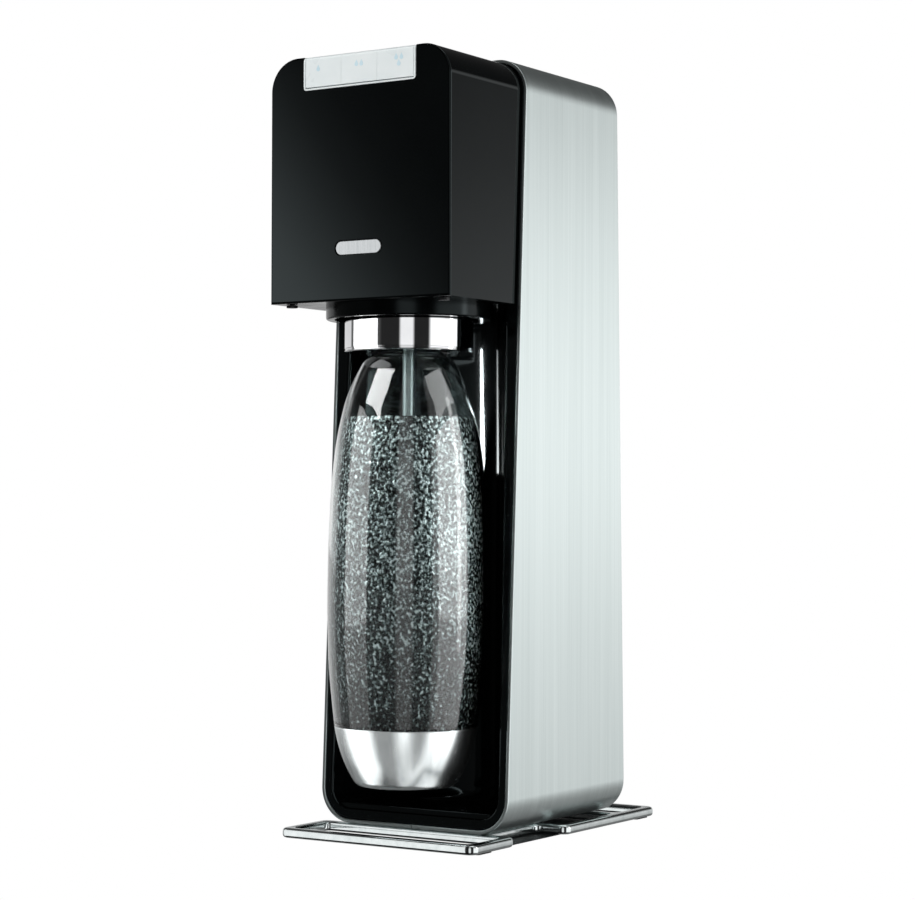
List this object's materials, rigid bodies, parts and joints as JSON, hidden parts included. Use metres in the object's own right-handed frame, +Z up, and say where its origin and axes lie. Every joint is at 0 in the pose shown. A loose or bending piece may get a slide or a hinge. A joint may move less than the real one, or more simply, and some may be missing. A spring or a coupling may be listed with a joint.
{
  "type": "soda carbonator",
  "caption": "Free-standing powered soda carbonator: brushed metal tower, gloss black head with touch-edge buttons, tilting bottle holder, gas cylinder and clear bottle with steel foot.",
  "frame": {"origin": "centre of the footprint on the surface the feet stand on", "axes": "+Z up, -Y towards the user (front), +X to the right seen from the front"},
  "size_m": [0.128, 0.2165, 0.43],
  "materials": {
    "base_steel": "polished flat steel bar with rounded edges",
    "brushed_aluminium": "anodised sheet, fine vertical brushed lines",
    "piano_black": "high-gloss black moulding",
    "satin_black": "fine-grained black moulding",
    "pearl_silver": "pearl silver lacquer with faint drop icons",
    "silver_badge": "satin silver plate, blank",
    "chrome_ring": "mirror chrome",
    "clear_pet": "clear blow-moulded PET",
    "water": "sparkling water full of fine bubbles",
    "steel_cup": "satin-polished deep-drawn steel",
    "steel_parts": "bright machined steel",
    "zinc_chassis": "zinc-plated pressed and cast metal",
    "brass": "turned brass",
    "gas_cylinder_paint": "grey enamel",
    "rubber": "moulded rubber",
    "nylon": "natural nylon",
    "pcb": "green solder mask",
    "motor_can": "nickel-plated steel can"
  },
  "bodies": {
    "stand": {"base_frame": "base_steel", "outer_wrap": "brushed_aluminium", "front_liner": "piano_black", "chassis": "zinc_chassis", "cylinder_seal": "rubber", "valve_socket": "zinc_chassis", "gas_outlet_fitting": "brass", "relief_valve": "brass", "lever_pin": "steel_parts", "lever_bracket": "zinc_chassis", "drive_motor": "motor_can", "motor_bracket": "zinc_chassis", "head_housing": "piano_black", "front_badge": "silver_badge", "head_bottom_cover": "piano_black", "cover_screw_1": "steel_parts", "cover_screw_2": "steel_parts", "control_bezel": "pearl_silver", "control_board": "pcb", "holder_yoke": "zinc_chassis", "gas_hose": "rubber", "swivel_elbow": "brass", "power_inlet": "satin_black", "wire_loom": "rubber", "rubber_foot_1": "rubber", "base_screw_1": "steel_parts", "rubber_foot_2": "rubber", "base_screw_2": "steel_parts", "rubber_foot_3": "rubber", "base_screw_3": "steel_parts", "rubber_foot_4": "rubber", "base_screw_4": "steel_parts"},
    "rear_cover": {"rear_cover": "satin_black"},
    "drip_tray": {"drip_tray": "satin_black"},
    "gas_cylinder": {"gas_cylinder": "gas_cylinder_paint", "cylinder_valve": "brass"},
    "valve_pin": {"valve_pin": "steel_parts"},
    "plunger": {"plunger": "steel_parts"},
    "lever": {"actuator_lever": "nylon"},
    "pinion": {"drive_pinion": "brass", "motor_shaft": "steel_parts"},
    "button_left": {"button_left": "pearl_silver"},
    "button_middle": {"button_middle": "pearl_silver"},
    "button_right": {"button_right": "pearl_silver"},
    "holder": {"holder_block": "satin_black", "chrome_ring": "chrome_ring", "grip_collar": "rubber", "bottle_seal": "rubber", "carbonation_tube": "steel_parts", "tube_nozzle": "steel_parts", "tube_nut": "brass", "hinge_pin_right": "steel_parts", "hinge_pin_left": "steel_parts"},
    "bottle": {"bottle_shell": "clear_pet", "base_cup": "steel_cup", "water_fill": "water"}
  },
  "joints": [
    {"name": "holder_tilt", "type": "hinge", "parent": "stand", "child": "holder", "pos_m": [0, -0.057, 0.3], "axis": [-1, 0, 0], "range_deg": [0, 15]},
    {"name": "bottle_drop", "type": "slide", "parent": "holder", "child": "bottle", "axis": [0, -0.0087, -1], "range_m": [0, 0.008]},
    {"name": "button_left_press", "type": "slide", "parent": "stand", "child": "button_left", "axis": [0, 0.7071, -0.7071], "range_m": [0, 0.0008], "stiffness_N_per_m": 300, "springref_m": -0.002},
    {"name": "button_middle_press", "type": "slide", "parent": "stand", "child": "button_middle", "axis": [0, 0.7071, -0.7071], "range_m": [0, 0.0008], "stiffness_N_per_m": 300, "springref_m": -0.002},
    {"name": "button_right_press", "type": "slide", "parent": "stand", "child": "button_right", "axis": [0, 0.7071, -0.7071], "range_m": [0, 0.0008], "stiffness_N_per_m": 300, "springref_m": -0.002},
    {"name": "lever_press", "type": "hinge", "parent": "stand", "child": "lever", "pos_m": [0, 0.013, 0.402], "axis": [-1, 0, 0], "range_deg": [0, 5.1], "stiffness_Nm_per_rad": 0.6, "springref_deg": -11.46},
    {"name": "pinion_spin", "type": "hinge", "parent": "stand", "child": "pinion", "pos_m": [0, -0.0365, 0.402], "axis": [-1, 0, 0], "range_deg": [-29, 1]},
    {"name": "plunger_travel", "type": "slide", "parent": "stand", "child": "plunger", "axis": [0, 0, -1], "range_m": [0, 0.0018]},
    {"name": "valve_pin_travel", "type": "slide", "parent": "gas_cylinder", "child": "valve_pin", "axis": [0, 0, -1], "range_m": [0, 0.0018]},
    {"name": "gas_cylinder_drop", "type": "slide", "parent": "stand", "child": "gas_cylinder", "axis": [0, 0, -1], "range_m": [0, 0.0175]},
    {"name": "rear_cover_pull", "type": "slide", "parent": "stand", "child": "rear_cover", "axis": [0, 1, 0], "range_m": [0, 0.04]},
    {"name": "drip_tray_pull", "type": "slide", "parent": "stand", "child": "drip_tray", "axis": [0, -1, 0], "range_m": [0, 0.04]}
  ],
  "couplings": [
    {"joint": "pinion_spin", "follows": "lever_press", "ratio": -5.6},
    {"joint": "plunger_travel", "follows": "lever_press", "m_per_rad": 0.018},
    {"joint": "valve_pin_travel", "follows": "lever_press", "m_per_rad": 0.018}
  ]
}
